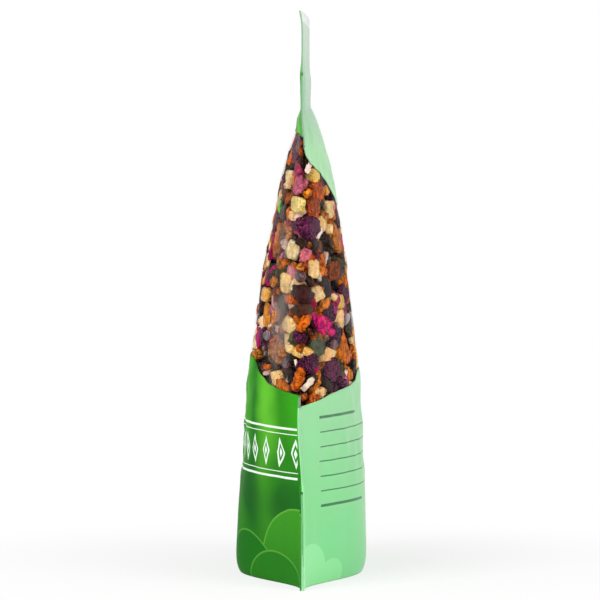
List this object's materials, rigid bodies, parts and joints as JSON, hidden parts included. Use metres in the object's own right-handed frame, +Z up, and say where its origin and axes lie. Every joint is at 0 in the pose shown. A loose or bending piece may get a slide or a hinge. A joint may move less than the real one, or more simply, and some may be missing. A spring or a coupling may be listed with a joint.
{
  "type": "stand-up pouch of loose fruit infusion",
  "caption": "Filled stand-up pouch of printed film with a folded base, a press-to-close zip and a clear window on a loose blend of dried fruit and petals.",
  "frame": {"origin": "middle of the foot's footprint, on the surface that the pouch stands on", "axes": "+Z up, X across the width of the pouch, -Y out of its printed front, +Y out of its back"},
  "size_m": [0.13, 0.0495, 0.21],
  "materials": {
    "printed_front": "glossy printed film",
    "printed_back": "glossy printed film",
    "clear_film": "clear glossy film",
    "zip_plastic": "satin",
    "loose_fill": "dry and dusty",
    "candied_fruit": "waxy, dusted with sugar",
    "berry": "wrinkled, dusted with sugar",
    "petal": "dry",
    "peel": "dry",
    "fruit_slice": "dry",
    "leaf": "dry",
    "shaving": "dry"
  },
  "bodies": {
    "root": {"front_panel": "printed_front", "back_panel": "printed_back", "base_gusset": "printed_back", "zip_male": "zip_plastic", "zip_female": "zip_plastic", "loose_blend": "loose_fill", "sugared_berry_1": "berry", "sugared_berry_2": "berry", "sugared_berry_3": "berry", "sugared_berry_4": "berry", "sugared_berry_5": "berry", "pineapple_dice_1": "candied_fruit", "pineapple_dice_2": "candied_fruit", "pineapple_dice_3": "candied_fruit", "pineapple_dice_4": "candied_fruit", "pineapple_dice_5": "candied_fruit", "papaya_dice_1": "candied_fruit", "papaya_dice_2": "candied_fruit", "currant_1": "berry", "currant_2": "berry", "currant_3": "berry", "raisin_1": "berry", "raisin_2": "berry", "rose_petal_1": "petal", "rose_petal_2": "petal", "rose_petal_3": "petal", "rose_petal_4": "petal", "rose_petal_5": "petal", "rose_petal_6": "petal", "rose_petal_7": "petal", "rose_petal_8": "petal", "orange_peel_1": "peel", "orange_peel_2": "peel", "orange_peel_3": "peel", "orange_peel_4": "peel", "orange_peel_5": "peel", "orange_peel_6": "peel", "apple_slice_1": "fruit_slice", "apple_slice_2": "fruit_slice", "apple_slice_3": "fruit_slice", "rosehip_1": "fruit_slice", "leaf_bit_1": "leaf", "leaf_bit_2": "leaf", "leaf_bit_3": "leaf", "leaf_bit_4": "leaf", "coconut_shaving_1": "shaving", "coconut_shaving_2": "shaving", "coconut_shaving_3": "shaving", "coconut_shaving_4": "shaving"}
  },
  "joints": []
}
